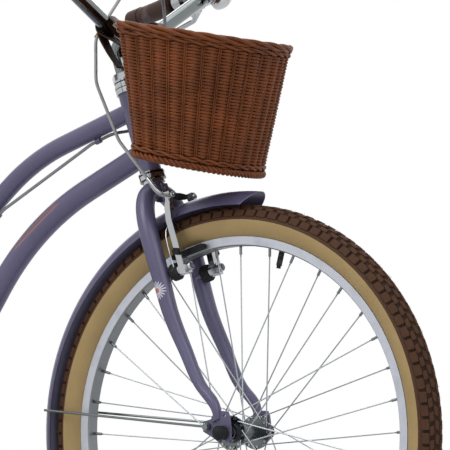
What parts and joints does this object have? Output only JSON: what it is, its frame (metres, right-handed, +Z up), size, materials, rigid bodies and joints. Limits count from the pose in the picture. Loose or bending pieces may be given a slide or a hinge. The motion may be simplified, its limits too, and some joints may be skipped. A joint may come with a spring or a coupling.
{
  "type": "beach cruiser bicycle",
  "caption": "Step-through beach cruiser bicycle with curved twin tubes, swept bar, woven front basket, fenders, rim brakes, one-piece crank, chain drive, sprung saddle and centre stand.",
  "frame": {"origin": "on the ground, midway between the front of the front tyre and the back of the rear fender, in the bicycle's middle plane", "axes": "+X forward, +Y to the rider's left, +Z up"},
  "size_m": [1.7544, 0.7292, 1.0662],
  "materials": {
    "frame_paint": "satin",
    "chrome": "polished",
    "steel": "satin",
    "black_metal": "satin",
    "rim_alloy": "satin",
    "brake_alloy": "satin",
    "tyre": "matte",
    "black_rubber": "matte",
    "black_plastic": "matte",
    "cable_housing": "gloss",
    "wicker": "satin",
    "dark_leather": "matte",
    "saddle_leather": "satin"
  },
  "bodies": {
    "frame": {"head_tube": "frame_paint", "upper_tube": "frame_paint", "lower_tube": "frame_paint", "seat_tube": "frame_paint", "rear_triangle": "frame_paint", "headset_cups": "chrome", "bottom_bracket_cups": "steel", "seat_clamp": "chrome", "chain_guard": "frame_paint", "rear_fender": "frame_paint", "rear_fender_stays": "chrome", "rear_axle_set": "steel", "rear_brake_cable": "cable_housing", "chain": "steel", "stand_bracket": "black_metal"},
    "steering": {"fork": "frame_paint", "headset_nuts": "chrome", "stem": "chrome", "handlebar": "chrome", "grip_left": "dark_leather", "grip_right": "dark_leather", "lever_perches": "brake_alloy", "bell": "chrome", "basket": "wicker", "basket_straps": "dark_leather", "front_fender": "frame_paint", "front_fender_stays": "chrome", "front_axle_set": "steel", "front_axle_caps": "black_plastic", "front_brake_cable": "cable_housing", "steering_cable_loop": "cable_housing"},
    "front_wheel": {"front_tyre": "tyre", "front_inner_tube": "black_rubber", "front_rim": "rim_alloy", "front_spokes": "steel", "front_hub": "black_metal"},
    "rear_wheel": {"rear_tyre": "tyre", "rear_inner_tube": "black_rubber", "rear_rim": "rim_alloy", "rear_spokes": "steel", "rear_hub": "black_metal"},
    "freewheel": {"freewheel_sprocket": "steel"},
    "crank": {"crank": "chrome", "chainring": "steel", "pedal_spindles": "steel"},
    "pedal_left": {"pedal_left": "black_plastic"},
    "pedal_right": {"pedal_right": "black_plastic"},
    "lever_left": {"brake_lever_left": "brake_alloy"},
    "lever_right": {"brake_lever_right": "brake_alloy"},
    "front_brake_left": {"front_brake_arm_left": "brake_alloy", "front_brake_pad_left": "black_rubber"},
    "front_brake_right": {"front_brake_arm_right": "brake_alloy", "front_brake_pad_right": "black_rubber"},
    "rear_brake_left": {"rear_brake_arm_left": "brake_alloy"},
    "rear_brake_right": {"rear_brake_arm_right": "brake_alloy"},
    "stand": {"stand_legs": "black_metal"},
    "seat": {"seat_post": "chrome", "saddle_frame": "black_metal", "saddle_springs": "chrome", "saddle_pad": "saddle_leather"}
  },
  "joints": [
    {"name": "steering_turn", "type": "hinge", "parent": "frame", "child": "steering", "pos_m": [0.34549, 0, 0.8385], "axis": [-0.3107, 0, 0.9505], "range_deg": [-50, 50], "deforming": ["steering_cable_loop"]},
    {"name": "front_wheel_spin", "type": "hinge", "parent": "steering", "child": "front_wheel", "pos_m": [0.54571, 0, 0.3315], "axis": [0, 1, 0], "continuous": true},
    {"name": "rear_wheel_spin", "type": "hinge", "parent": "frame", "child": "rear_wheel", "pos_m": [-0.52521, 0, 0.3315], "axis": [0, 1, 0], "continuous": true},
    {"name": "crank_spin", "type": "hinge", "parent": "frame", "child": "crank", "pos_m": [-0.07929, 0, 0.2955], "axis": [0, 1, 0], "continuous": true, "deforming": ["chain"]},
    {"name": "freewheel_spin", "type": "hinge", "parent": "frame", "child": "freewheel", "pos_m": [-0.52521, 0, 0.3315], "axis": [0, 1, 0], "continuous": true},
    {"name": "pedal_left_spin", "type": "hinge", "parent": "crank", "child": "pedal_left", "pos_m": [-0.24929, 0.078, 0.2955], "axis": [0, 1, 0], "continuous": true},
    {"name": "pedal_right_spin", "type": "hinge", "parent": "crank", "child": "pedal_right", "pos_m": [0.09071, -0.078, 0.2955], "axis": [0, 1, 0], "continuous": true},
    {"name": "brake_lever_left_pull", "type": "hinge", "parent": "steering", "child": "lever_left", "pos_m": [0.26261, 0.29966, 0.99358], "axis": [0.1452, 0.5616, 0.8146], "range_deg": [0, 14], "stiffness_Nm_per_rad": 3, "springref_deg": -8.59, "deforming": ["front_brake_cable"]},
    {"name": "brake_lever_right_pull", "type": "hinge", "parent": "steering", "child": "lever_right", "pos_m": [0.26261, -0.29966, 0.99358], "axis": [-0.1452, 0.5616, -0.8146], "range_deg": [0, 14], "stiffness_Nm_per_rad": 3, "springref_deg": -8.59, "deforming": ["rear_brake_cable"]},
    {"name": "front_brake_left_close", "type": "hinge", "parent": "steering", "child": "front_brake_left", "pos_m": [0.46777, 0.04, 0.57062], "axis": [0.9505, 0, 0.3107], "range_deg": [0, 2.2]},
    {"name": "front_brake_right_close", "type": "hinge", "parent": "steering", "child": "front_brake_right", "pos_m": [0.46777, -0.04, 0.57062], "axis": [-0.9505, 0, -0.3107], "range_deg": [0, 2.2]},
    {"name": "rear_brake_left_close", "type": "hinge", "parent": "frame", "child": "rear_brake_left", "pos_m": [-0.37801, 0.04, 0.53897], "axis": [0.7196, 0, -0.6944], "range_deg": [0, 2.2]},
    {"name": "rear_brake_right_close", "type": "hinge", "parent": "frame", "child": "rear_brake_right", "pos_m": [-0.37801, -0.04, 0.53897], "axis": [-0.7196, 0, 0.6944], "range_deg": [0, 2.2]},
    {"name": "stand_fold", "type": "hinge", "parent": "frame", "child": "stand", "pos_m": [-0.16329, 0, 0.2315], "axis": [0, 1, 0], "range_deg": [0, 60]},
    {"name": "seat_height", "type": "slide", "parent": "frame", "child": "seat", "axis": [-0.342, 0, 0.9397], "range_m": [-0.03, 0.06]}
  ],
  "couplings": [
    {"joint": "freewheel_spin", "follows": "crank_spin", "ratio": 2.4444},
    {"joint": "front_brake_left_close", "follows": "brake_lever_left_pull", "ratio": 0.15714},
    {"joint": "front_brake_right_close", "follows": "brake_lever_left_pull", "ratio": 0.15714},
    {"joint": "rear_brake_left_close", "follows": "brake_lever_right_pull", "ratio": 0.15714},
    {"joint": "rear_brake_right_close", "follows": "brake_lever_right_pull", "ratio": 0.15714}
  ]
}
